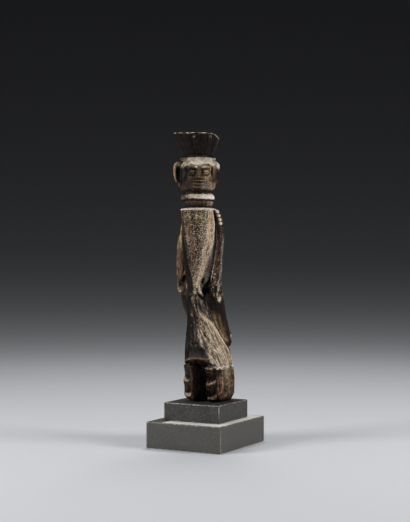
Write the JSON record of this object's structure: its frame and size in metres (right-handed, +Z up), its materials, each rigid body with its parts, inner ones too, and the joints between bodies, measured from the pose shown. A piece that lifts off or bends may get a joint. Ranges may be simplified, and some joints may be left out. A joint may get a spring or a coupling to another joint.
{
  "type": "carved wooden figure",
  "caption": "Slender carved wooden standing figure with a flared crest, ringed neck, free-hanging arms and notched legs, on a stepped block base.",
  "frame": {"origin": "centre of the lower base block's underside", "axes": "+Z up through the figure, the figure faces -Y, and its own left side is +X"},
  "size_m": [0.05, 0.057, 0.1877],
  "materials": {
    "carved_wood": "aged dark wood with worn tan ridges, a crusted speckled front and rubbed pale pigment on the head and crest rim",
    "base_paint": "satin warm dark grey paint on wood, worn lighter along the edges"
  },
  "bodies": {
    "root": {"carved_figure": "carved_wood", "upper_base_block": "base_paint", "lower_base_block": "base_paint"}
  },
  "joints": []
}
